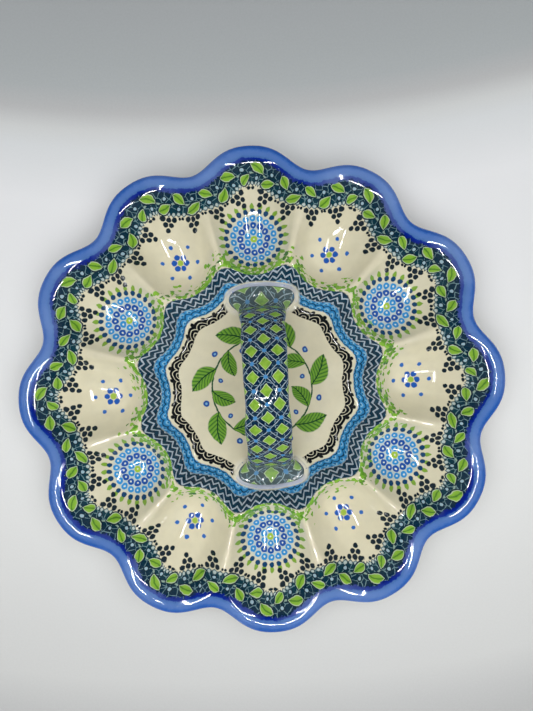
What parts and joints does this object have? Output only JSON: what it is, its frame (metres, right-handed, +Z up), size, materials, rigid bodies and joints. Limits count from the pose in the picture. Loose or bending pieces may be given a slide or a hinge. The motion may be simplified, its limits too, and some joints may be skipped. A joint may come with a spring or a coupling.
{
  "type": "egg dish",
  "caption": "Scalloped glazed stoneware dish with a ring of egg wells round a flat centre, and a strap handle that arches across the middle.",
  "frame": {"origin": "centre of the foot ring's flat underside, on the table", "axes": "+Z up along the dish's axis, handle along Y with +Y at the top of the picture, +X to its right"},
  "size_m": [0.26, 0.26, 0.06],
  "materials": {
    "dish_glaze": "gloss, underglaze painting on cream",
    "handle_glaze": "gloss, dark teal underglaze painting",
    "seam_glaze": "gloss, cream"
  },
  "bodies": {
    "root": {"dish_body": "dish_glaze", "strap_handle": "handle_glaze", "slip_bead_front": "seam_glaze", "slip_bead_back": "seam_glaze"}
  },
  "joints": []
}
